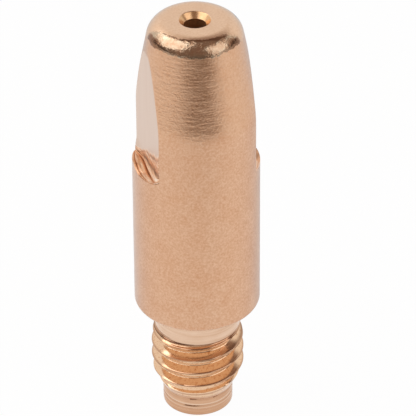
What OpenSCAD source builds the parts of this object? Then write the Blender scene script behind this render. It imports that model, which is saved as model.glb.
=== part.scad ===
// Contact tip for a wire-feed welding torch.
// One piece turned from a round copper bar, standing on its threaded end with the nose up.
// The axis is Z, the end face lies at z = 0, and the spanner flats face -X and +X.

/* [Body] */
// Overall length from the end face to the nose
overall_length = 28.6; // [26:0.1:34]
// Diameter of the bar that the tip is turned from
body_d = 8; // [7.4:0.1:9]
// Bevel that breaks the edge of the shoulder
shoulder_bevel = 0.2; // [0.05:0.05:0.4]

/* [Nose] */
// Length of the taper and nose together
nose_length = 6.2; // [4:0.1:8]
// Half angle of the taper, in degrees
nose_half_angle = 10.9; // [4:0.1:14]
// Radius that rounds the taper into the front face
nose_edge_r = 1.2; // [0.6:0.05:1.5]

/* [Wire bore] */
// Diameter of the welding wire
wire_d = 1.2; // [0.8:0.1:1.6]
// Play between the wire and its bore, on the diameter
wire_clearance = 0.2; // [0.1:0.05:0.3]
// Width of the countersink's rim beyond the bore
countersink_rim = 0.3; // [0.1:0.05:0.35]
// Half angle of the countersink, in degrees
countersink_half_angle = 40; // [30:1:60]
// Wall left between the entry funnel and the pilot
funnel_wall = 0.7; // [0.5:0.05:1]
// Half angle of the wire's entry funnel, in degrees
funnel_half_angle = 30; // [20:1:45]

/* [Spanner flats] */
// Distance across the two flats
across_flats = 6.28; // [5.8:0.02:7]
// Length of the flats, down from the front face
flats_length = 10.3; // [8:0.1:13]

/* [Stem] */
// Length of the stem from the end face to the shoulder
stem_length = 7.95; // [7:0.05:11]
// Outer diameter over the thread's crests
thread_d = 5.95; // [5.7:0.05:6.6]
// Pitch of the thread
thread_pitch = 1; // [0.75:0.05:1.25]
// Length over which the thread runs out into the neck
run_out_length = 1.2; // [0.8:0.1:1.6]
// Diameter of the plain pilot ahead of the thread
pilot_d = 4.48; // [4.2:0.02:4.9]
// Length of the pilot
pilot_length = 1.3; // [0.8:0.1:2]
// Half angle of the lead-in taper between pilot and thread, in degrees
lead_in_half_angle = 25; // [20:1:45]
// Diameter of the plain neck between thread and shoulder
neck_d = 5.45; // [5.2:0.05:5.6]
// Length of the neck
neck_length = 1.85; // [1:0.05:2.5]

/* [Hidden] */
$fn = 96;
// Overrun of a cutter past the face where it breaks out
overrun = 1;
copper = [0.80, 0.58, 0.44];

bore_d = wire_d + wire_clearance;
body_r = body_d / 2;
// The taper starts here and would meet the front face at the sharp corner
taper_z = overall_length - nose_length;
front_corner_r = body_r - nose_length * tan(nose_half_angle);
// Centre of the arc that is tangent to the taper and to the front face
nose_arc_z = overall_length - nose_edge_r;
nose_arc_r = body_r - (nose_arc_z - taper_z) * tan(nose_half_angle) - nose_edge_r / cos(nose_half_angle);
// Where the arc leaves the taper
arc_foot_r = nose_arc_r + nose_edge_r * cos(nose_half_angle);
arc_foot_z = nose_arc_z + nose_edge_r * sin(nose_half_angle);
flats_z = overall_length - flats_length;
lead_in_z = pilot_length + (thread_d - pilot_d) / 2 / tan(lead_in_half_angle);
neck_z = stem_length - neck_length;
// Metric thread form: flanks at 60 degrees, a crest flat of pitch / 8 and a root flat of pitch / 4
thread_half_angle = 30;
groove_mouth = thread_pitch * 7 / 8;
groove_root = thread_pitch / 4;
groove_root_r = thread_d / 2 - (groove_mouth - groove_root) / 2 / tan(thread_half_angle);
// The grooves lie midway between crests, from the lead-in up to the neck
first_groove_z = lead_in_z - thread_pitch / 2;
last_groove_z = neck_z - groove_mouth / 2;
countersink_d = bore_d + 2 * countersink_rim;
countersink_depth = countersink_rim / tan(countersink_half_angle);
funnel_d = pilot_d - 2 * funnel_wall;
funnel_depth = (funnel_d - bore_d) / 2 / tan(funnel_half_angle);

// Half section of the stem, from the end face up into the body
module stem_section() {
    polygon([
        [0, 0],
        [pilot_d / 2, 0],
        [pilot_d / 2, pilot_length],
        [thread_d / 2, lead_in_z],
        [thread_d / 2, neck_z - run_out_length],
        [neck_d / 2, neck_z],
        [neck_d / 2, stem_length],
        [0, stem_length]
    ]);
}

// Half section of one groove of the thread, each turn drawn as a plain ring
module groove_section() {
    polygon([
        [groove_root_r, -groove_root / 2],
        [thread_d / 2, -groove_mouth / 2],
        [thread_d / 2 + overrun, -groove_mouth / 2],
        [thread_d / 2 + overrun, groove_mouth / 2],
        [thread_d / 2, groove_mouth / 2],
        [groove_root_r, groove_root / 2]
    ]);
}

// Half section of the body with its tapered nose, before the front edge is rounded
module body_section() {
    polygon([
        [0, stem_length],
        [body_r - shoulder_bevel, stem_length],
        [body_r, stem_length + shoulder_bevel],
        [body_r, taper_z],
        [front_corner_r, overall_length],
        [0, overall_length]
    ]);
}

// What the form tool takes off the front corner to leave the round edge
module front_corner_waste() {
    difference() {
        polygon([
            [nose_arc_r, nose_arc_z],
            [arc_foot_r, arc_foot_z],
            [front_corner_r, overall_length],
            [nose_arc_r, overall_length]
        ]);
        translate([nose_arc_r, nose_arc_z])
            circle(r = nose_edge_r);
    }
}

module turned_blank() {
    rotate_extrude()
        difference() {
            union() {
                stem_section();
                body_section();
            }
            front_corner_waste();
            for (z = [first_groove_z : thread_pitch : last_groove_z])
                translate([0, z])
                    groove_section();
        }
}

// Bore for the wire, with its entry funnel at the stem and a countersink at the nose
module wire_way() {
    translate([0, 0, -overrun])
        cylinder(h = overall_length + 2 * overrun, d = bore_d);
    cylinder(h = funnel_depth, d1 = funnel_d, d2 = bore_d);
    translate([0, 0, overall_length - countersink_depth])
        cylinder(h = countersink_depth, d1 = bore_d, d2 = countersink_d);
}

// Space that the cutter clears beside one flat, with a square foot
module flat_waste() {
    translate([across_flats / 2, -body_r - overrun, flats_z])
        cube([body_r + overrun, body_d + 2 * overrun, flats_length + overrun]);
}

module contact_tip() {
    color(copper)
        difference() {
            turned_blank();
            wire_way();
            flat_waste();
            mirror([1, 0, 0])
                flat_waste();
        }
}

contact_tip();
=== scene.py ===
import math

import bpy
import numpy as np
from mathutils import Matrix, Vector


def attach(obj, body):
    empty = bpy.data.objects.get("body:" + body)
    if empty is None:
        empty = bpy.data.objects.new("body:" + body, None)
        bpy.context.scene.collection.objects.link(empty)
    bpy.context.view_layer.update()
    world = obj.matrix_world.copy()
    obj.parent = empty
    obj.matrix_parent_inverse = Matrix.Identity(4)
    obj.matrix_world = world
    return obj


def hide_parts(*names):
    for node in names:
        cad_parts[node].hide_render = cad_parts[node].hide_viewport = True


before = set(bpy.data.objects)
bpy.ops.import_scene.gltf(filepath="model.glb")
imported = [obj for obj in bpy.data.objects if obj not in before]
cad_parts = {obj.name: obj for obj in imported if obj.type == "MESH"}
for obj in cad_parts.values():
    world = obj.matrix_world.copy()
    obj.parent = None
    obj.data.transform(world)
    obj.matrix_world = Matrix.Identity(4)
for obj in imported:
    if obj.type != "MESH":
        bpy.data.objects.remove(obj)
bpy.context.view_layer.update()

# Contact tip: the copper nozzle that feeds the wire of a welding torch and brings it the current.
# It is turned from round bar, drilled through, milled with two spanner flats and thread-rolled on its stem,
# by which it screws into the torch. Sizes are in millimetres from the stem's end face, with the nose up.
length = 28.6
body_r = 4.0
taper_z = 22.4
taper_slope = math.radians(10.9)
nose_r = 1.2
bore_r = 0.7
countersink_r = 1.0
countersink_z = length - 0.358
flat_x = 3.14
foot_z = 18.3
torn_end_z = foot_z + 2.7
shoulder_z = 7.95
shoulder_bevel = 0.2
neck_r = 2.725
neck_z = 6.1
crest_r = 2.97
pilot_r = 2.24
pilot_z = 1.3
funnel_r = 1.54
funnel_z = 1.455


def smooth_step(low, high, value):
    t = np.clip((value - low) / (high - low), 0, 1)
    return t * t * (3 - 2 * t)


def soft_min(a, b, blend):
    h = np.clip(0.5 + 0.5 * (b - a) / blend, 0, 1)
    return b + (a - b) * h - blend * h * (1 - h)


def hump(value, middle, half_width):
    return np.exp(-((value - middle) / half_width) ** 2)


# The turned outline runs from the countersink over the nose, down the outside and round the end face,
# then up the wire's entry funnel and the bore. Each stretch is a name, which picks its finish,
# with the radii and the heights of its rings.
nose_z = length - nose_r
nose_centre = body_r - (nose_z - taper_z) * math.tan(taper_slope) - nose_r / math.cos(taper_slope)
nose_arc = np.linspace(math.pi / 2, taper_slope, 26)
down_taper = np.linspace(nose_z + nose_r * math.sin(taper_slope), taper_z, 40)[1:]
under_taper = np.linspace(taper_z - 0.1, torn_end_z, 10)
bevel_arc = np.linspace(0, math.pi / 2, 7)
worn_width = 0.10


def worn_edge(z):
    return soft_min(body_r, body_r - (z - taper_z) * math.tan(taper_slope), worn_width)


stretches = [
    ("countersink", np.linspace(bore_r, countersink_r - 0.03, 6),
     np.linspace(countersink_z, length - 0.036, 6)),
    ("front", countersink_r + np.array([-0.012, 0.012, 0.04]), length - np.array([0.016, 0.003, 0.0])),
    ("front", np.linspace(countersink_r + 0.12, nose_centre - 0.06, 6), np.full(6, length)),
    ("nose", nose_centre + nose_r * np.cos(nose_arc), nose_z + nose_r * np.sin(nose_arc)),
    ("taper", worn_edge(down_taper), down_taper),
    ("body", worn_edge(under_taper), under_taper),
    ("body", np.full(60, body_r), np.linspace(torn_end_z - 0.04, foot_z + 0.001, 60)),
    ("foot", np.full(16, body_r), np.full(16, foot_z)),
    ("body", np.full(16, body_r), np.linspace(foot_z - 0.06, shoulder_z + shoulder_bevel + 0.05, 16)),
    ("body", body_r - shoulder_bevel * (1 - np.cos(bevel_arc)),
     shoulder_z + shoulder_bevel * (1 - np.sin(bevel_arc))),
    ("shoulder", [3.6, 3.2, neck_r + 0.1, neck_r + 0.03], [shoulder_z] * 3 + [shoulder_z - 0.01]),
    ("neck", np.full(12, neck_r), np.linspace(shoulder_z - 0.05, neck_z + 0.16, 12)),
    ("thread", np.full(180, crest_r), np.linspace(neck_z + 0.13, pilot_z + 0.12, 180)),
    ("pilot", np.full(32, pilot_r), np.linspace(pilot_z + 0.09, 0.06, 32)),
    ("pilot", pilot_r - np.array([0.004, 0.02, 0.06]), [0.03, 0.008, 0.0]),
    ("end", np.linspace(2.0, funnel_r + 0.02, 3), np.zeros(3)),
    ("funnel", np.linspace(funnel_r, bore_r, 6), np.linspace(0.02, funnel_z, 6)),
    ("bore", np.full(8, bore_r), np.linspace(funnel_z + 1, countersink_z - 0.6, 8)),
]
ring_name = np.array([name for name, radii, heights in stretches for _ in radii])[:, None]
ring_r = np.concatenate([np.asarray(radii, float) for name, radii, heights in stretches])[:, None]
ring_z = np.concatenate([np.asarray(heights, float) for name, radii, heights in stretches])[:, None]
at_flats = np.isin(ring_name, ("nose", "taper", "body")) & (ring_z >= foot_z)
is_foot = ring_name == "foot"

# Columns of points round each ring bunch at the edges of the two flats and follow those edges up the taper.
flat_cols, round_cols = 44, 66
cols = 2 * (flat_cols + round_cols)
full_reach = math.acos(flat_x / body_r)
least_reach = 0.12
up_nose = smooth_step(0.05, 0.95, np.where(ring_name == "nose", (ring_z - nose_z) / nose_r, 0))
reach = np.where(at_flats, np.arccos(np.clip(flat_x / np.maximum(ring_r, flat_x), 0, 1)), full_reach)
reach = np.maximum(reach, least_reach + (full_reach - least_reach) * up_nose)


def bunched(count):
    even = np.arange(count) / count
    return 0.65 * even + 0.35 * (0.5 - 0.5 * np.cos(math.pi * even))


turn = np.concatenate([
    -reach + 2 * reach * bunched(flat_cols),
    reach + (math.pi - 2 * reach) * bunched(round_cols),
    math.pi - reach + 2 * reach * bunched(flat_cols),
    math.pi + reach + (math.pi - 2 * reach) * bunched(round_cols),
], axis=1)

# The cutter tore the foot of each flat: a shelf slopes out to its rim on the body, and above the shelf
# ridges fan out along the flat and stand off it. Places along a foot run from 0 to 1 round the tip.
foot_turn = turn[np.flatnonzero(is_foot)[0]]
swing = (foot_turn + math.pi / 2) % math.pi - math.pi / 2
along = np.clip(0.5 + 0.5 * np.tan(np.clip(swing, -full_reach, full_reach)) / math.tan(full_reach), 0, 1)
on_left = np.abs(foot_turn - math.pi) <= full_reach + 1e-6
on_right = np.abs(foot_turn) <= full_reach + 1e-6
corner_cols = [0, flat_cols, flat_cols + round_cols, 2 * flat_cols + round_cols, cols]

# Heights of the shelf over the foot's level, at the flat and at the rim on the body.
# Between the flats they run on round the body, from corner to corner.
left_top = np.interp(along, [0, 0.10, 0.26, 0.50, 0.70, 0.86, 1], [0.07, 0.07, 0.10, 0.10, 0.10, 0.18, 0.56])
right_top = np.interp(along, [0, 0.15, 0.35, 1], [0.20, 0.06, 0.02, 0.04])
round_top = np.interp(np.arange(cols), corner_cols, [0.20, 0.04, 0.10, 0.60, 0.20])
foot_top = foot_z + np.select([on_left, on_right], [left_top, right_top], round_top)
left_rim = np.interp(np.degrees(swing), [-38.3, -20, -5, 3, 10, 23, 33, 38.3],
                     [0.06, 0.25, 0.45, 0.32, 0.16, 0.17, 0.28, 0.56])
right_rim = np.interp(along, [0, 0.15, 0.35, 0.55, 1], [0.20, 0.16, 0.08, 0.04, 0.04])
round_rim = np.interp(np.arange(cols), corner_cols, [0.20, 0.04, 0.06, 0.56, 0.20])
foot_rim = foot_z + np.select([on_left, on_right], [left_rim, right_rim], round_rim)

# Ridges from the shelf up to the clean flat: their places, heights off the flat and painted shading
ridge_at = [0.00, 0.07, 0.14, 0.27, 0.37, 0.43, 0.47, 0.52, 0.60, 0.68, 0.75, 0.80, 0.85, 0.90, 1.00]
ridge_up = [0.15, 0.15, 0.17, 0.18, 0.13, 0.05, 0.00, 0.00, 0.02, 0.03, 0.06, 0.04, 0.01, 0.02, 0.00]
ridge_shading = [0.30, 0.34, 0.50, 0.85, 0.65, 0.15, 0.05, 0.22, 0.40, 0.38, 0.60, 0.42, 0.20, 0.42, 0.80]
stands = smooth_step(0.1, 0.8, along)
run_out_up = 0.22
run_out = run_out_up * (1 - smooth_step(0.0, 0.35, along)) * on_left

# The rim rises from the shelf no steeper than this, so that the shelf never folds at its corners
steepest = 0.6
corner_drop = 0.03
inner_r = (flat_x + ridge_up[0] * stands + run_out) / np.maximum(np.abs(np.cos(foot_turn)), 1e-3)
inner_r = np.minimum(inner_r, body_r)
shelf_depth = body_r - inner_r
foot_rim = np.minimum(foot_rim, foot_top - corner_drop + steepest * shelf_depth)

# Rings above and below the foot bend to meet it, and are level again 3 mm under it
settle = 3
across = np.zeros_like(ring_z)
across[is_foot] = np.linspace(0.06, 1, is_foot.sum())
above = (ring_z >= foot_z) & (ring_z <= torn_end_z) & ~is_foot
below = (ring_z < foot_z) & (ring_z > foot_z - settle)
height = ring_z + 0 * turn
bent = foot_top + (ring_z - foot_z) * (torn_end_z - foot_top) / (torn_end_z - foot_z)
height = np.where(above, bent, height)
height = np.where(is_foot, foot_top + (foot_rim - foot_top) * across, height)
height = np.where(below, foot_rim + (ring_z - foot_z) * (foot_rim - foot_z + settle) / settle, height)

# The fan opens from the shelf over a middle line to its uneven end on the flat
torn_mid = foot_z + np.interp(along, [0, 0.26, 0.45, 0.62, 0.80, 1], [0.13, 0.28, 0.65, 0.67, 0.82, 0.88])
torn_mid = np.maximum(torn_mid, foot_top + 0.02)
uneven_end = 1 + 0.06 * np.sin(41 * along) + 0.05 * np.sin(97 * along)
torn_top = torn_mid + uneven_end * np.interp(along, [0, 0.27, 0.63, 1], [0.18, 0.45, 0.97, 1.62])
low_fan = 0.5 * (height - foot_top) / (torn_mid - foot_top)
high_fan = 0.5 + 0.5 * (height - torn_mid) / (torn_top - torn_mid)
fan = np.clip(np.where(height < torn_mid, low_fan, high_fan), 0, 1)
flat_edge_blend = 0.03
step = np.interp(fan, ridge_at, ridge_up) * stands
step = step + run_out * (1 - smooth_step(foot_z + 0.05, foot_z + 1.0, height))
flat_r = (flat_x + step) / np.maximum(np.abs(np.cos(turn)), 1e-3)
radius = np.where(at_flats, soft_min(ring_r, flat_r, flat_edge_blend), ring_r)
radius = np.where(is_foot, inner_r + shelf_depth * across ** 0.9, radius)
gouge_deep = 0.03
# Painted shade in the gouge, for each mm of its depth
gouge_shade = 25
gouge = gouge_deep * hump(across, 0.70, 0.08) * (1 - smooth_step(0.70, 0.86, along))
height = np.where(is_foot, height - gouge * np.clip(shelf_depth / 0.5, 0, 1), height)

# Painted light and shade on the torn metal, from 0, painted shade in a furrow, to 1, a painted highlight on a
# ridge
# The rim's outer edge gets a painted shadow under its burr, and the gouge a painted shade
rim_burr_shadow = smooth_step(0.88, 1.0, across) * np.interp(along, [0.45, 0.70], [0.15, 0.85])
left_shelf_shading = np.interp(across, [0, 0.08, 0.2, 0.45, 0.6, 0.88], [0.35, 0.60, 0.95, 1.0, 0.9, 0.95])
left_shelf_shading = left_shelf_shading - rim_burr_shadow - gouge_shade * gouge
right_shelf_shading = np.interp(along, [0, 0.2, 0.35, 0.6], [0.50, 0.46, 0.34, 0.28])
edge_dark = 0.3 * smooth_step(0.955, 0.985, along)
shelf_shading = np.where(on_left, left_shelf_shading, right_shelf_shading)
painted_torn_shading = np.where(is_foot, shelf_shading, np.interp(fan, ridge_at, ridge_shading) * (1 - edge_dark))
torn = np.where(is_foot, 1.0, 1 - smooth_step(0.92, 1.0, fan))

# The rolled thread: a right-hand helix whose last crests keep the twin lips that rolling leaves,
# run out by the neck above and by the lead-in below. Turns count from the camera's side of the tip,
# which lies 17 degrees round from the middle between the flats.
root_r = 2.40
pitch = 1.0
crest_z = 3.83
half_crest = 0.04
flank_width = 0.25
lip_spread = 0.12
lead_in_slope = math.radians(25)
view_turn = math.radians(-17.0)
front_turn = -math.pi / 2 + view_turn
on_stem = np.isin(ring_name, ("thread", "neck", "pilot"))

# Rings of the mesh climb with the helix for 19 twentieths of a turn, then fall back on the far side
climb = ((turn - front_turn - math.pi) / (2 * math.pi)) % 1.0
climb = np.minimum(climb, 19 * (1 - climb))
helix_zone = [pilot_z - 1.0, pilot_z + 0.3, neck_z - 1.5, neck_z + 0.7]
stem_z = ring_z + pitch * climb * np.interp(ring_z, helix_zone, [0, 1, 1, 0])
height = np.where(on_stem, stem_z, height)
lead = (stem_z - crest_z) / pitch - (turn - front_turn) / (2 * math.pi)
off_crest = ((lead + 0.5) % 1.0 - 0.5) * pitch
from_crest = np.abs(off_crest)
lip = np.interp(stem_z, [neck_z - 1.30, neck_z - 0.40], [0.0, 1.0])
flank = 1 - np.clip((from_crest - half_crest - lip_spread * lip) / flank_width, -1, 2)
rounded_crest = soft_min(flank, 1, 0.06)
tooth = -soft_min(-rounded_crest, 0, 0.12)
run_out_zone = [neck_z - 1.30, neck_z - 0.65, neck_z - 0.23, neck_z]
crest = np.interp(stem_z, run_out_zone, [crest_r, 2.89, 2.80, neck_r])
root = np.interp(stem_z, [neck_z - 1.20, neck_z], [root_r, 2.56])
seam = (0.02 + 0.13 * lip) * hump(from_crest, 0, 0.04 + 0.06 * lip)
stem_r = root + (crest - root) * tooth - seam
into_neck = smooth_step(neck_z - 0.30, neck_z + 0.02, stem_z)
stem_r = stem_r * (1 - into_neck) + neck_r * into_neck
groove = (0.45 + 0.55 * np.clip((crest - stem_r) / (crest_r - root_r), 0, 1)) * (1 - into_neck)
lead_in = pilot_r + np.maximum(stem_z - pilot_z, 0) * math.tan(lead_in_slope)
stem_r = soft_min(stem_r, lead_in, 0.04)

# Rings that the tool scored round the pilot, by height, depth and width, with a burr over each
scored_rings = (
    (1.27, 0.040, 0.07), (1.02, 0.025, 0.05), (0.74, 0.042, 0.07), (0.50, 0.025, 0.05), (0.30, 0.030, 0.05))
burr_share = 0.35
for scored_z, deep, wide in scored_rings:
    stem_r = stem_r - deep * hump(stem_z, scored_z, wide)
    stem_r = stem_r + burr_share * deep * hump(stem_z, scored_z + 1.4 * wide, 0.7 * wide)
# Painted shade darkens two of these rings, the end's edge and the hollow under the last crests.
# Three of the burrs carry a painted highlight.
painted_shade_line = 0.12 * hump(stem_z, 1.27, 0.07) + 0.12 * hump(stem_z, 0.74, 0.07) + 0.3 * hump(stem_z, 0, 0.08)
painted_shade_line = painted_shade_line + 1.2 * lip * hump(off_crest, 0.14, 0.06) * (1 - into_neck)
burr_highlight = hump(stem_z, 1.37, 0.05) + hump(stem_z, 0.84, 0.05) + 0.6 * hump(stem_z, 0.57, 0.04)
end_edge = (ring_name == "pilot") & (ring_z < 0.05)
radius = np.where(on_stem & ~end_edge, stem_r, radius)
groove = np.where(on_stem & ~end_edge, groove * smooth_step(pilot_z + 0.15, pilot_z + 0.3, stem_z), 0)

# Faces take a finish each: 0 satin, 1 milled, 2 rolled, 3 drilled, in the order of the materials below
mm = 0.001
points = np.stack([radius * np.cos(turn), radius * np.sin(turn), height], axis=-1).reshape(-1, 3) * mm
rings = len(ring_name)
i, j = np.meshgrid(np.arange(rings), np.arange(cols), indexing="ij")
next_i, next_j = (i + 1) % rings, (j + 1) % cols
faces = np.stack([i * cols + j, next_i * cols + j, next_i * cols + next_j, i * cols + next_j], axis=-1)
faces = faces.reshape(-1, 4)
flat_sector = (j % (flat_cols + round_cols)) < flat_cols
cut = flat_sector & (at_flats | is_foot) & (ring_r > flat_x + 0.01)
rolled = np.isin(ring_name, ("neck", "thread", "pilot", "end"))
drilled = np.isin(ring_name, ("countersink", "funnel", "bore"))
finish = np.select([cut, rolled, drilled], [1, 2, 3], 0)
tip_mesh = bpy.data.meshes.new("contact_tip_turned")
tip_mesh.from_pydata(points.tolist(), [], faces.tolist())
tip_mesh.polygons.foreach_set("material_index", finish.ravel().astype(np.int32))
tip_mesh.polygons.foreach_set("use_smooth", np.ones(len(faces), dtype=bool))
stem_shade_line = np.where(on_stem, painted_shade_line, 0)
stem_burr_highlight = np.where(on_stem, burr_highlight, 0)
patterns = {"painted_torn_shading": painted_torn_shading, "torn": torn, "groove": groove, "painted_shade_line": stem_shade_line, "burr_highlight": stem_burr_highlight}
for name, values in patterns.items():
    spread = (values + 0 * turn).ravel().astype(np.float32)
    tip_mesh.attributes.new(name, "FLOAT", "POINT").data.foreach_set("value", spread)
tip_mesh.validate()
tip_mesh.update()
tip_mesh.set_sharp_from_angle(angle=math.radians(38))
tip = bpy.data.objects.new("contact_tip_turned", tip_mesh)
bpy.context.scene.collection.objects.link(tip)


def linear(code):
    srgb = [int(code[k:k + 2], 16) / 255 for k in (1, 3, 5)]
    return [c / 12.92 if c <= 0.04045 else ((c + 0.055) / 1.055) ** 2.4 for c in srgb] + [1.0]


# Mix nodes count their sockets: 0 the share, 2 and 3 two numbers, 6 and 7 two colours
def add(tree, kind, inputs=None, **settings):
    node = tree.nodes.new(kind)
    for key, value in settings.items():
        setattr(node, key, value)
    for key, value in (inputs or {}).items():
        if isinstance(value, bpy.types.NodeSocket):
            tree.links.new(value, node.inputs[key])
        else:
            node.inputs[key].default_value = value
    return node


def new_material(name):
    material = bpy.data.materials.new(name)
    material.use_nodes = True
    material.node_tree.nodes.clear()
    tip_mesh.materials.append(material)
    return material.node_tree


# Satin copper: the bar's drawn skin, tumbled to a fine matt grain, so it spreads reflections and looks tan.
# The taper keeps the broken lines of the turning tool and gleams a little more.
# The rounded nose edge is burnished nearly bright, with small dents, and its borders carry a painted dark
# reflection.
tree = new_material("satin_drawn_copper")
place = add(tree, "ShaderNodeTexCoord").outputs["Object"]
up_tip = add(tree, "ShaderNodeSeparateXYZ", {0: place}).outputs["Z"]
# Grain of 0.13 mm, drawn coarser than the real 0.03 mm so that it shows
grain = add(tree, "ShaderNodeTexNoise", {
    "Vector": place, "Scale": 1 / (0.13 * mm), "Detail": 2.0, "Roughness": 0.6}).outputs["Fac"]
speck = add(tree, "ShaderNodeMapRange", {"Value": grain, "From Min": 0.32, "From Max": 0.68}).outputs[0]
# Blotches of 1.1 mm where the tumbling rubbed more or less
blotch = add(tree, "ShaderNodeTexNoise", {
    "Vector": place, "Scale": 1 / (1.1 * mm), "Detail": 2.0}).outputs["Fac"]
patch = add(tree, "ShaderNodeMapRange", {"Value": blotch, "From Min": 0.32, "From Max": 0.68}).outputs[0]
# Turning marks 0.15 mm apart, broken into dashes of about 1 mm
marks_at = add(tree, "ShaderNodeVectorMath", {
    0: place, 1: (0.16, 0.16, 1.0)}, operation="MULTIPLY").outputs[0]
marks = add(tree, "ShaderNodeTexNoise", {
    "Vector": marks_at, "Scale": 1 / (0.15 * mm), "Detail": 3.0, "Roughness": 0.5}).outputs["Fac"]
# Mottling of 0.4 mm on the burnished edge
mottle = add(tree, "ShaderNodeTexNoise", {
    "Vector": place, "Scale": 1 / (0.4 * mm), "Detail": 3.0, "Roughness": 0.6}).outputs["Fac"]
rubbed = add(tree, "ShaderNodeMapRange", {"Value": mottle, "From Min": 0.35, "From Max": 0.65}).outputs[0]

# The turned taper begins at a ragged line where it leaves the body
ragged = add(tree, "ShaderNodeMath", {0: blotch, 1: 1.6 * mm, 2: up_tip}, operation="MULTIPLY_ADD").outputs[0]
tapered = add(tree, "ShaderNodeMapRange", {
    "Value": ragged, "From Min": taper_z * mm, "From Max": (taper_z + 1.4) * mm},
    interpolation_type="SMOOTHSTEP").outputs[0]

# The burnish lies on the nose's front and back, between the taper and the front face, with mottled borders
rub_turn = math.radians(5) - view_turn
normal = add(tree, "ShaderNodeNewGeometry").outputs["Normal"]
turned_normal = add(tree, "ShaderNodeVectorRotate", {
    "Vector": normal, "Angle": rub_turn}, rotation_type="Z_AXIS").outputs[0]
facing = add(tree, "ShaderNodeSeparateXYZ", {0: turned_normal}).outputs
frontal = add(tree, "ShaderNodeMath", {0: facing["Y"]}, operation="ABSOLUTE").outputs[0]
lower_edge = add(tree, "ShaderNodeMath", {
    0: mottle, 1: 0.6 * mm, 2: up_tip}, operation="MULTIPLY_ADD").outputs[0]
above_taper = add(tree, "ShaderNodeMapRange", {
    "Value": lower_edge, "From Min": (length - 0.66) * mm, "From Max": (length - 0.59) * mm},
    interpolation_type="SMOOTHSTEP").outputs[0]
rough_edge = add(tree, "ShaderNodeMath", {
    0: mottle, 1: 0.10, 2: facing["Z"]}, operation="MULTIPLY_ADD").outputs[0]
beyond = add(tree, "ShaderNodeMapRange", {"Value": facing["Y"], "From Max": 0.3, "To Max": 0.18}).outputs[0]
upper_edge = add(tree, "ShaderNodeMath", {0: rough_edge, 1: beyond}, operation="ADD").outputs[0]
below_front = add(tree, "ShaderNodeMapRange", {
    "Value": upper_edge, "From Min": 1.00, "From Max": 0.97}, interpolation_type="SMOOTHSTEP").outputs[0]
nose_band = add(tree, "ShaderNodeMath", {0: above_taper, 1: below_front}, operation="MULTIPLY").outputs[0]
rubbing = add(tree, "ShaderNodeMath", {0: mottle, 1: 0.16, 2: frontal}, operation="MULTIPLY_ADD").outputs[0]
reached = add(tree, "ShaderNodeMapRange", {
    "Value": rubbing, "From Min": 0.305, "From Max": 0.415}, interpolation_type="SMOOTHSTEP").outputs[0]
burnished = add(tree, "ShaderNodeMath", {0: nose_band, 1: reached}, operation="MULTIPLY").outputs[0]

# The foot of the burnish, most of all on its two sides, and its brink at the front face, which is broader
# to the right, are painted dark brown as a painted reflection of the dim room
turned_place = add(tree, "ShaderNodeVectorRotate", {
    "Vector": place, "Angle": -view_turn}, rotation_type="Z_AXIS").outputs[0]
rightward = add(tree, "ShaderNodeSeparateXYZ", {0: turned_place}).outputs["X"]
beside = add(tree, "ShaderNodeMath", {0: rightward}, operation="ABSOLUTE").outputs[0]
sides = add(tree, "ShaderNodeMapRange", {
    "Value": beside, "From Min": 1.2 * mm, "From Max": 2.5 * mm},
    interpolation_type="SMOOTHSTEP").outputs[0]
leaning = add(tree, "ShaderNodeMath", {
    0: sides, 1: -0.30, 2: facing["Z"]}, operation="MULTIPLY_ADD").outputs[0]
climbing = add(tree, "ShaderNodeMath", {
    0: mottle, 1: 0.25, 2: leaning}, operation="MULTIPLY_ADD").outputs[0]
foot = add(tree, "ShaderNodeMapRange", {
    "Value": climbing, "From Min": 0.48, "From Max": 0.38}, interpolation_type="SMOOTHSTEP").outputs[0]
dark_reflection_strength = add(tree, "ShaderNodeMapRange", {"Value": sides, "To Min": 0.15, "To Max": 0.9}).outputs[0]
dark_reflection_foot = add(tree, "ShaderNodeMath", {0: foot, 1: dark_reflection_strength}, operation="MULTIPLY").outputs[0]
to_right = add(tree, "ShaderNodeMapRange", {
    "Value": rightward, "From Min": 0.6 * mm, "From Max": 1.6 * mm, "To Max": 0.07},
    interpolation_type="SMOOTHSTEP").outputs[0]
brink_edge = add(tree, "ShaderNodeMath", {0: upper_edge, 1: to_right}, operation="ADD").outputs[0]
dark_reflection_brink = add(tree, "ShaderNodeMapRange", {
    "Value": brink_edge, "From Min": 0.925, "From Max": 0.965, "To Max": 0.7},
    interpolation_type="SMOOTHSTEP").outputs[0]
painted_dark_reflection = add(tree, "ShaderNodeMath", {0: dark_reflection_foot, 1: dark_reflection_brink}, operation="MAXIMUM").outputs[0]

wear = add(tree, "ShaderNodeMix", {0: 0.33, 2: speck, 3: patch}, data_type="FLOAT").outputs[0]
body_tan = add(tree, "ShaderNodeMix", {
    0: wear, 6: linear("#d4a07b"), 7: linear("#ebc4a4")}, data_type="RGBA").outputs[2]
scored = add(tree, "ShaderNodeMapRange", {
    "Value": marks, "From Min": 0.47, "From Max": 0.36}, interpolation_type="SMOOTHSTEP").outputs[0]
turned_tan = add(tree, "ShaderNodeMix", {
    0: scored, 6: linear("#dfb28e"), 7: linear("#d6a887")}, data_type="RGBA").outputs[2]
turned_share = add(tree, "ShaderNodeMath", {0: tapered, 1: 0.35}, operation="MULTIPLY").outputs[0]
skin = add(tree, "ShaderNodeMix", {0: turned_share, 6: body_tan, 7: turned_tan}, data_type="RGBA").outputs[2]
face_tan = add(tree, "ShaderNodeMix", {
    0: speck, 6: linear("#e3bb98"), 7: linear("#eecaab")}, data_type="RGBA").outputs[2]
matt_tan = add(tree, "ShaderNodeMix", {0: above_taper, 6: skin, 7: face_tan}, data_type="RGBA").outputs[2]
clean_tan = add(tree, "ShaderNodeMix", {
    0: rubbed, 6: linear("#c09d7f"), 7: linear("#cab69d")}, data_type="RGBA").outputs[2]
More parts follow.
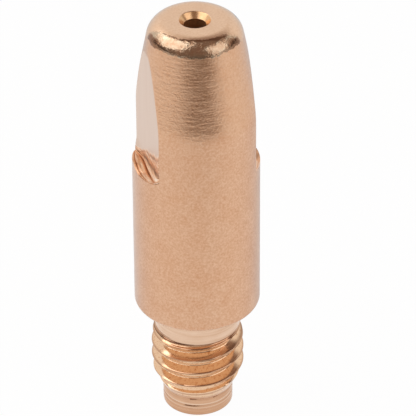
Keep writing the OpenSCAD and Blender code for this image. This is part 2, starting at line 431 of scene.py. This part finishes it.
# The burnish's borders are mixed towards dark brown, a painted dark reflection
bright_tan = add(tree, "ShaderNodeMix", {
    0: painted_dark_reflection, 6: clean_tan, 7: linear("#8e654a")}, data_type="RGBA").outputs[2]
colour = add(tree, "ShaderNodeMix", {0: burnished, 6: matt_tan, 7: bright_tan}, data_type="RGBA").outputs[2]

satin = add(tree, "ShaderNodeMapRange", {
    "Value": blotch, "From Min": 0.3, "From Max": 0.7, "To Min": 0.42, "To Max": 0.50}).outputs[0]
lathed = add(tree, "ShaderNodeMapRange", {
    "Value": blotch, "From Min": 0.35, "From Max": 0.65, "To Min": 0.29, "To Max": 0.37}).outputs[0]
matt = add(tree, "ShaderNodeMix", {0: tapered, 2: satin, 3: lathed}, data_type="FLOAT").outputs[0]
bright = add(tree, "ShaderNodeMapRange", {"Value": rubbed, "To Min": 0.24, "To Max": 0.12}).outputs[0]
roughness = add(tree, "ShaderNodeMix", {0: burnished, 2: matt, 3: bright}, data_type="FLOAT").outputs[0]

# Relief adds up the turning marks on the taper, the dents in the burnish and the grain over all, each from
# its middle level
on_taper = add(tree, "ShaderNodeMath", {
    0: tapered, 1: above_taper}, operation="SUBTRACT", use_clamp=True).outputs[0]
mark_up = add(tree, "ShaderNodeMath", {0: on_taper, 1: 0.45}, operation="MULTIPLY").outputs[0]
level_marks = add(tree, "ShaderNodeMath", {0: marks, 1: 0.5}, operation="SUBTRACT").outputs[0]
marked = add(tree, "ShaderNodeMath", {0: level_marks, 1: mark_up}, operation="MULTIPLY").outputs[0]
dent_up = add(tree, "ShaderNodeMath", {0: burnished, 1: 0.6}, operation="MULTIPLY").outputs[0]
level_mottle = add(tree, "ShaderNodeMath", {0: mottle, 1: 0.5}, operation="SUBTRACT").outputs[0]
dented = add(tree, "ShaderNodeMath", {
    0: level_mottle, 1: dent_up, 2: marked}, operation="MULTIPLY_ADD").outputs[0]
wave_up = add(tree, "ShaderNodeMapRange", {"Value": burnished, "To Min": 0.15, "To Max": 0.35}).outputs[0]
grain_up = add(tree, "ShaderNodeMath", {
    0: on_taper, 1: 0.22, 2: wave_up}, operation="MULTIPLY_ADD").outputs[0]
level_grain = add(tree, "ShaderNodeMath", {0: grain, 1: 0.5}, operation="SUBTRACT").outputs[0]
relief = add(tree, "ShaderNodeMath", {
    0: level_grain, 1: grain_up, 2: dented}, operation="MULTIPLY_ADD").outputs[0]
bump = add(tree, "ShaderNodeBump", {"Height": relief, "Distance": 0.06 * mm, "Strength": 0.8}).outputs[0]
haze = add(tree, "ShaderNodeMapRange", {"Value": tapered, "To Min": 1.0, "To Max": 0.15}).outputs[0]
shader = add(tree, "ShaderNodeBsdfPrincipled", {
    "Base Color": colour, "Metallic": 1.0, "Roughness": roughness, "Normal": bump,
    "Specular Tint": linear("#dcefff"), "Sheen Weight": haze, "Sheen Roughness": 0.3}).outputs[0]
add(tree, "ShaderNodeOutputMaterial", {"Surface": shader})

# Milled copper: the flats are fresh-cut metal, paler and smoother than the skin, with faint cutter lines.
# Torn metal at their foot has painted highlights on the ridges and painted shade in the furrows, and tone
# that varies at random.
tree = new_material("milled_copper")
place = add(tree, "ShaderNodeTexCoord").outputs["Object"]
# Cutter lines 0.3 mm apart and about 6 mm long, drawn coarser than the real 0.1 mm so that they show
lines_at = add(tree, "ShaderNodeVectorMath", {
    0: place, 1: (1.0, 1.0, 0.05)}, operation="MULTIPLY").outputs[0]
lines = add(tree, "ShaderNodeTexNoise", {
    "Vector": lines_at, "Scale": 1 / (0.3 * mm), "Detail": 3.0}).outputs["Fac"]
pale = add(tree, "ShaderNodeMix", {
    0: lines, 6: linear("#d3b6a2"), 7: linear("#dcc4b2")}, data_type="RGBA").outputs[2]
# Tears 0.2 mm apart and about 2 mm long
tears_at = add(tree, "ShaderNodeVectorMath", {
    0: place, 1: (0.10, 0.10, 1.0)}, operation="MULTIPLY").outputs[0]
tears = add(tree, "ShaderNodeTexNoise", {
    "Vector": tears_at, "Scale": 1 / (0.2 * mm), "Detail": 3.0, "Roughness": 0.6}).outputs["Fac"]
uneven = add(tree, "ShaderNodeMapRange", {
    "Value": tears, "From Min": 0.3, "From Max": 0.7, "To Min": -0.32, "To Max": 0.32}).outputs[0]
torn_shading_level = add(tree, "ShaderNodeAttribute", attribute_name="painted_torn_shading").outputs["Fac"]
torn_shading_level = add(tree, "ShaderNodeMath", {0: torn_shading_level, 1: uneven}, operation="ADD").outputs[0]
torn_share = add(tree, "ShaderNodeAttribute", attribute_name="torn").outputs["Fac"]
furrow = add(tree, "ShaderNodeMapRange", {"Value": torn_shading_level, "From Min": 0.0, "From Max": 0.45}).outputs[0]
ridge = add(tree, "ShaderNodeMapRange", {"Value": torn_shading_level, "From Min": 0.45, "From Max": 1.0}).outputs[0]
# Furrows take a painted shade in brown, ridges a painted highlight near white
furrow_shade_tan = add(tree, "ShaderNodeMix", {
    0: furrow, 6: linear("#8a5f43"), 7: linear("#e4af88")}, data_type="RGBA").outputs[2]
torn_lit_and_shaded_tan = add(tree, "ShaderNodeMix", {
    0: ridge, 6: furrow_shade_tan, 7: linear("#fff3e2")}, data_type="RGBA").outputs[2]
colour = add(tree, "ShaderNodeMix", {0: torn_share, 6: pale, 7: torn_lit_and_shaded_tan}, data_type="RGBA").outputs[2]
bump = add(tree, "ShaderNodeBump", {"Height": lines, "Distance": 0.004 * mm, "Strength": 0.5}).outputs[0]
shader = add(tree, "ShaderNodeBsdfPrincipled", {
    "Base Color": colour, "Metallic": 1.0, "Roughness": 0.3, "Normal": bump}).outputs[0]
add(tree, "ShaderNodeOutputMaterial", {"Surface": shader})

# Rolled copper: the thread rolls squeeze the stem and leave it bright and smooth, with fine lines round it.
# The thread's flanks mirror each other and look orange, with painted shade under the last crests.
tree = new_material("rolled_copper")
place = add(tree, "ShaderNodeTexCoord").outputs["Object"]
# Lines 0.16 mm apart and about 3 mm long, drawn coarser than the real 0.05 mm so that they show
lines_at = add(tree, "ShaderNodeVectorMath", {
    0: place, 1: (0.05, 0.05, 1.0)}, operation="MULTIPLY").outputs[0]
lines = add(tree, "ShaderNodeTexNoise", {
    "Vector": lines_at, "Scale": 1 / (0.16 * mm), "Detail": 3.0}).outputs["Fac"]
streak = add(tree, "ShaderNodeMapRange", {"Value": lines, "From Min": 0.3, "From Max": 0.7}).outputs[0]
# Stains of 0.7 mm from handling
cloud = add(tree, "ShaderNodeTexNoise", {
    "Vector": place, "Scale": 1 / (0.7 * mm), "Detail": 3.0}).outputs["Fac"]
stain = add(tree, "ShaderNodeMix", {0: 0.6, 2: cloud, 3: streak}, data_type="FLOAT").outputs[0]
neck_tan = add(tree, "ShaderNodeMix", {
    0: stain, 6: linear("#d3ab8c"), 7: linear("#ebcdb4")}, data_type="RGBA").outputs[2]
pilot_tan = add(tree, "ShaderNodeMix", {
    0: stain, 6: linear("#c29170"), 7: linear("#dfb796")}, data_type="RGBA").outputs[2]
up_stem = add(tree, "ShaderNodeSeparateXYZ", {0: place}).outputs["Z"]
at_pilot = add(tree, "ShaderNodeMapRange", {
    "Value": up_stem, "From Min": (pilot_z + 0.4) * mm, "From Max": (pilot_z + 0.2) * mm}).outputs[0]
plain_tan = add(tree, "ShaderNodeMix", {
    0: at_pilot, 6: neck_tan, 7: pilot_tan}, data_type="RGBA").outputs[2]
in_groove = add(tree, "ShaderNodeAttribute", attribute_name="groove").outputs["Fac"]
threaded = add(tree, "ShaderNodeMapRange", {
    "Value": in_groove, "From Min": 0.1, "From Max": 0.4}).outputs[0]
sunk = add(tree, "ShaderNodeMapRange", {"Value": in_groove, "From Min": 0.46, "From Max": 0.58}).outputs[0]
# Pits of 0.15 mm where the rolls picked up metal
pits = add(tree, "ShaderNodeTexNoise", {
    "Vector": place, "Scale": 1 / (0.15 * mm), "Detail": 2.0}).outputs["Fac"]
pit = add(tree, "ShaderNodeMapRange", {"Value": pits, "From Min": 0.45, "From Max": 0.33}).outputs[0]
flank_tan = add(tree, "ShaderNodeMix", {
    0: pit, 6: linear("#e9c4a1"), 7: linear("#d5a680")}, data_type="RGBA").outputs[2]
# The crests take a painted shade, darker than the flanks
thread_tan = add(tree, "ShaderNodeMix", {
    0: sunk, 6: linear("#bb8f6f"), 7: flank_tan}, data_type="RGBA").outputs[2]
stem_tan = add(tree, "ShaderNodeMix", {
    0: threaded, 6: plain_tan, 7: thread_tan}, data_type="RGBA").outputs[2]
# Three burrs on the pilot are painted pale, a painted highlight
on_burr_highlight = add(tree, "ShaderNodeAttribute", attribute_name="burr_highlight").outputs["Fac"]
burr_highlight_share = add(tree, "ShaderNodeMath", {0: on_burr_highlight, 1: 0.7}, operation="MULTIPLY").outputs[0]
burr_highlighted = add(tree, "ShaderNodeMix", {
    0: burr_highlight_share, 6: stem_tan, 7: linear("#f8e0c8")}, data_type="RGBA").outputs[2]
# Painted shade in two scored rings, round the end's edge and under the last crests
in_shade_line = add(tree, "ShaderNodeAttribute", attribute_name="painted_shade_line").outputs["Fac"]
colour = add(tree, "ShaderNodeMix", {
    0: in_shade_line, 6: burr_highlighted, 7: linear("#6b432d")}, data_type="RGBA").outputs[2]
bump = add(tree, "ShaderNodeBump", {"Height": lines, "Distance": 0.008 * mm, "Strength": 0.6}).outputs[0]
shader = add(tree, "ShaderNodeBsdfPrincipled", {
    "Base Color": colour, "Metallic": 1.0, "Roughness": 0.13, "Normal": bump,
    "Sheen Weight": 0.3, "Sheen Roughness": 0.25}).outputs[0]
add(tree, "ShaderNodeOutputMaterial", {"Surface": shader})

# Drilled copper: bore, funnel and countersink are cut by the drill, which leaves them golden and bright,
# and duller down the bore.
tree = new_material("drilled_copper")
place = add(tree, "ShaderNodeTexCoord").outputs["Object"]
# Drill marks of 0.2 mm
marks = add(tree, "ShaderNodeTexNoise", {
    "Vector": place, "Scale": 1 / (0.2 * mm), "Detail": 3.0}).outputs["Fac"]
colour = add(tree, "ShaderNodeMix", {
    0: marks, 6: linear("#d2a378"), 7: linear("#eac598")}, data_type="RGBA").outputs[2]
bump = add(tree, "ShaderNodeBump", {"Height": marks, "Distance": 0.006 * mm, "Strength": 0.5}).outputs[0]
up_bore = add(tree, "ShaderNodeSeparateXYZ", {0: place}).outputs["Z"]
roughness = add(tree, "ShaderNodeMapRange", {
    "Value": up_bore, "From Min": (length - 0.5) * mm, "From Max": (length - 0.3) * mm,
    "To Min": 0.42, "To Max": 0.27}).outputs[0]
shader = add(tree, "ShaderNodeBsdfPrincipled", {
    "Base Color": colour, "Metallic": 1.0, "Roughness": roughness, "Normal": bump}).outputs[0]
add(tree, "ShaderNodeOutputMaterial", {"Surface": shader})

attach(tip, "root")
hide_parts("contact_tip")

# Studio: two softboxes beside the tip, a white sheet behind it and a dim room round it.
# They stand in the copper as its bright and dark bands. Sizes are in metres.
# Azimuths count to the right from the camera's side.
scene = bpy.context.scene
camera_frame = Matrix.Rotation(view_turn, 4, "Z")


def toward(azimuth, elevation):
    a, e = math.radians(azimuth), math.radians(elevation)
    return camera_frame @ Vector((math.sin(a) * math.cos(e), -math.cos(a) * math.cos(e), math.sin(e)))


target = Vector((0, 0, 0.016))
lamp_distance = 0.3
for name, azimuth, elevation, twist, wide, tall, radiance in (
        ("left_softbox", -78, 50, 28, 0.34, 0.31, 1.60),
        ("right_softbox", 61, 28, 0, 0.25, 0.27, 1.18)):
    lamp = bpy.data.lights.new(name, "AREA")
    lamp.shape = "RECTANGLE"
    lamp.size, lamp.size_y = wide, tall
    lamp.energy = radiance * math.pi * wide * tall
    softbox = bpy.data.objects.new(name, lamp)
    softbox.location = target + lamp_distance * toward(azimuth, elevation)
    aimed = (target - softbox.location).to_track_quat("-Z", "Y").to_matrix()
    softbox.rotation_euler = (aimed @ Matrix.Rotation(math.radians(twist), 3, "Z")).to_euler()
    scene.collection.objects.link(softbox)

world = bpy.data.worlds.new("studio")
scene.world = world
world.use_nodes = True
tree = world.node_tree
tree.nodes.clear()
direction = add(tree, "ShaderNodeTexCoord").outputs["Generated"]
turned_direction = add(tree, "ShaderNodeVectorRotate", {
    "Vector": direction, "Angle": -view_turn}, rotation_type="Z_AXIS").outputs[0]
around = add(tree, "ShaderNodeSeparateXYZ", {0: turned_direction}).outputs
# The sheet leans over the tip from behind, and its top edge slants
leaned = add(tree, "ShaderNodeMath", {
    0: around["Z"], 1: 0.35, 2: around["Y"]}, operation="MULTIPLY_ADD").outputs[0]
behind = add(tree, "ShaderNodeMapRange", {
    "Value": leaned, "From Min": 0.33, "From Max": 0.44}, interpolation_type="SMOOTHSTEP").outputs[0]
slanted = add(tree, "ShaderNodeMath", {
    0: around["X"], 1: 0.20, 2: around["Z"]}, operation="MULTIPLY_ADD").outputs[0]
under_top = add(tree, "ShaderNodeMapRange", {
    "Value": slanted, "From Min": 0.86, "From Max": 0.74}, interpolation_type="SMOOTHSTEP").outputs[0]
sheet = add(tree, "ShaderNodeMath", {0: behind, 1: under_top}, operation="MULTIPLY").outputs[0]
# The walls are darkest low down on both sides, and the ceiling is lighter
sideways = add(tree, "ShaderNodeMath", {0: around["X"]}, operation="ABSOLUTE").outputs[0]
aside = add(tree, "ShaderNodeMapRange", {
    "Value": sideways, "From Min": 0.75, "From Max": 0.95}, interpolation_type="SMOOTHSTEP").outputs[0]
wall = add(tree, "ShaderNodeMix", {
    0: aside, 6: linear("#76675e"), 7: linear("#342b26")}, data_type="RGBA").outputs[2]
overhead = add(tree, "ShaderNodeMapRange", {
    "Value": around["Z"], "From Min": 0.0, "From Max": 0.35}, interpolation_type="SMOOTHSTEP").outputs[0]
dim_room = add(tree, "ShaderNodeMix", {
    0: overhead, 6: wall, 7: linear("#8f776b")}, data_type="RGBA").outputs[2]
room = add(tree, "ShaderNodeMix", {
    0: sheet, 6: dim_room, 7: linear("#faf8f6")}, data_type="RGBA").outputs[2]
path = add(tree, "ShaderNodeLightPath").outputs
seen = add(tree, "ShaderNodeMix", {
    0: path["Is Camera Ray"], 6: room, 7: (1, 1, 1, 1)}, data_type="RGBA").outputs[2]
backdrop = add(tree, "ShaderNodeBackground", {"Color": seen, "Strength": 1.0}).outputs[0]
add(tree, "ShaderNodeOutputWorld", {"Surface": backdrop})

# Floor: a white paper sweep that the tip stands on, lit evenly so that it fades into the white behind.
# In reflections, the part in front of the tip lies in the shade of the camera's side.
half_floor = 0.8
floor_mesh = bpy.data.meshes.new("floor")
floor_mesh.from_pydata([
    (-half_floor, -half_floor, 0), (half_floor, -half_floor, 0),
    (half_floor, half_floor, 0), (-half_floor, half_floor, 0)], [], [(0, 1, 2, 3)])
floor = bpy.data.objects.new("floor", floor_mesh)
scene.collection.objects.link(floor)
paper = bpy.data.materials.new("pale_floor")
paper.use_nodes = True
floor_mesh.materials.append(paper)
tree = paper.node_tree
tree.nodes.clear()
path = add(tree, "ShaderNodeLightPath").outputs
# The shade widens from the tip like a wedge, aimed 8 degrees off the camera's side
shade_turn = -view_turn - math.radians(8)
place = add(tree, "ShaderNodeTexCoord").outputs["Object"]
turned_place = add(tree, "ShaderNodeVectorRotate", {
    "Vector": place, "Angle": shade_turn}, rotation_type="Z_AXIS").outputs[0]
spot = add(tree, "ShaderNodeSeparateXYZ", {0: turned_place}).outputs
offset = add(tree, "ShaderNodeMath", {0: spot["X"], 1: -0.012}, operation="ADD").outputs[0]
sideways = add(tree, "ShaderNodeMath", {0: offset}, operation="ABSOLUTE").outputs[0]
forward = add(tree, "ShaderNodeMath", {0: spot["Y"], 1: -1.0}, operation="MULTIPLY").outputs[0]
forward = add(tree, "ShaderNodeMath", {0: forward, 1: 0.01}, operation="MAXIMUM").outputs[0]
aslant = add(tree, "ShaderNodeMath", {0: sideways, 1: forward}, operation="DIVIDE").outputs[0]
wedge = add(tree, "ShaderNodeMapRange", {
    "Value": aslant, "From Min": 1.3, "From Max": 0.15}, interpolation_type="SMOOTHSTEP").outputs[0]
ahead_of_tip = add(tree, "ShaderNodeMapRange", {
    "Value": spot["Y"], "From Min": -0.055, "From Max": -0.085}, interpolation_type="SMOOTHSTEP").outputs[0]
shade = add(tree, "ShaderNodeMath", {0: wedge, 1: ahead_of_tip}, operation="MULTIPLY").outputs[0]
shaded = add(tree, "ShaderNodeMath", {0: shade, 1: path["Is Glossy Ray"]}, operation="MULTIPLY").outputs[0]
paper_white = add(tree, "ShaderNodeMix", {
    0: shaded, 6: linear("#f6f5f4"), 7: linear("#3a302b")}, data_type="RGBA").outputs[2]
lit_white = add(tree, "ShaderNodeMix", {
    0: shaded, 6: (1, 1, 1, 1), 7: linear("#7c6f66")}, data_type="RGBA").outputs[2]
mirrored = add(tree, "ShaderNodeMath", {0: path["Is Glossy Ray"], 1: 0.88}, operation="MULTIPLY").outputs[0]
lit_share = add(tree, "ShaderNodeMath", {
    0: path["Is Camera Ray"], 1: 0.97, 2: mirrored}, operation="MULTIPLY_ADD").outputs[0]
matt_paper = add(tree, "ShaderNodeBsdfDiffuse", {"Color": paper_white}).outputs[0]
lit_paper = add(tree, "ShaderNodeEmission", {"Color": lit_white, "Strength": 1.0}).outputs[0]
shader = add(tree, "ShaderNodeMixShader", {0: lit_share, 1: matt_paper, 2: lit_paper}).outputs[0]
add(tree, "ShaderNodeOutputMaterial", {"Surface": shader})
paper.cycles.emission_sampling = "NONE"

# Camera: it looks down at the tip from 34 degrees, 237 mm away, through a long lens.
# Sizes are in millimetres, and the focal length is in pixels of a picture 416 pixels wide.
tilt, roll = 0.60056, -0.0061277
distance = 237.05
shift_right, shift_up = 0.7245, 0.5728
focal_px, picture_px = 3759.2, 416
sensor_width = 36
ahead = Vector((0, math.cos(tilt), -math.sin(tilt)))
up = Vector((0, math.sin(tilt), math.cos(tilt)))
right = Vector((1, 0, 0))
eye = Vector((0, 0, 14.0)) - distance * ahead + shift_right * right + shift_up * up
rolled_right = math.cos(roll) * right + math.sin(roll) * up
rolled_up = math.cos(roll) * up - math.sin(roll) * right
pose = Matrix((rolled_right, rolled_up, -ahead)).transposed().to_4x4()
pose.translation = eye * mm
lens = bpy.data.cameras.new("camera")
lens.sensor_width = sensor_width
lens.lens = sensor_width * focal_px / picture_px
lens.clip_start, lens.clip_end = 0.01, 10
camera = bpy.data.objects.new("camera", lens)
camera.matrix_world = camera_frame @ pose
scene.collection.objects.link(camera)
scene.camera = camera
scene.view_settings.view_transform = "Standard"
